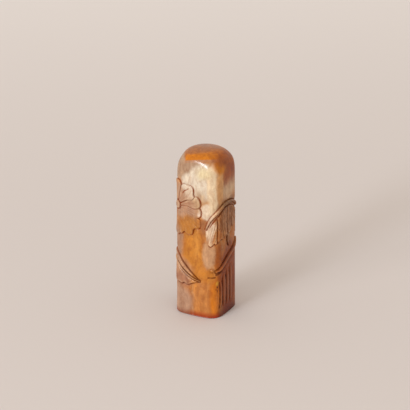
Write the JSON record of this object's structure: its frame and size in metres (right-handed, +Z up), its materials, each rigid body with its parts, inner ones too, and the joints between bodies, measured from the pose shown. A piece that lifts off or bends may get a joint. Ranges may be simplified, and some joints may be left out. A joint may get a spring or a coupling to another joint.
{
  "type": "seal stamp",
  "caption": "Square stone seal stamp with soft corners and a domed top, a blossom, leaves and reeds in low relief round its sides, and a ring and rosette cut on its flat foot.",
  "frame": {"origin": "middle of the seal face, the flat foot that the stone stands on", "axes": "+Z up the column to the domed top; -Y is the front face with the blossom at its left corner; +X is the face with the drooping leaf and the reeds"},
  "size_m": [0.021, 0.0209, 0.067],
  "materials": {
    "body_stone": "polished",
    "pale_stone": "polished",
    "dark_stone": "polished",
    "seal_face_stone": "polished"
  },
  "bodies": {
    "root": {"back_leaf_inner_blade": "body_stone", "back_leaf_midrib": "body_stone", "back_leaf_outer_blade": "body_stone", "back_reed_1": "dark_stone", "back_reed_2": "dark_stone", "blossom_heart": "pale_stone", "blossom_petal_01": "pale_stone", "blossom_petal_02": "pale_stone", "blossom_petal_03": "pale_stone", "blossom_petal_04": "pale_stone", "blossom_petal_05": "pale_stone", "blossom_petal_06": "pale_stone", "blossom_petal_07": "pale_stone", "blossom_petal_08": "pale_stone", "blossom_petal_09": "pale_stone", "blossom_petal_10": "pale_stone", "blossom_petal_11": "pale_stone", "blossom_stem": "pale_stone", "bud_cup": "pale_stone", "bud_petal_1": "pale_stone", "bud_petal_2": "pale_stone", "bud_petal_3": "pale_stone", "bud_stem": "pale_stone", "leaf_lobe_1": "pale_stone", "leaf_lobe_2": "dark_stone", "leaf_lobe_3": "dark_stone", "leaf_lobe_4": "dark_stone", "leaf_lobe_5": "dark_stone", "leaf_rim": "pale_stone", "leaf_stalk": "dark_stone", "leaf_stem": "dark_stone", "low_leaf_lower_blade": "body_stone", "low_leaf_midrib": "body_stone", "low_leaf_upper_blade": "body_stone", "reed_1": "dark_stone", "reed_2": "dark_stone", "reed_3": "dark_stone", "reed_4": "dark_stone", "seal_corner_dots": "seal_face_stone", "seal_ring": "seal_face_stone", "seal_rosette": "seal_face_stone", "stone_column": "body_stone", "trailing_leaf": "dark_stone", "trailing_leaf_curl": "dark_stone"}
  },
  "joints": []
}
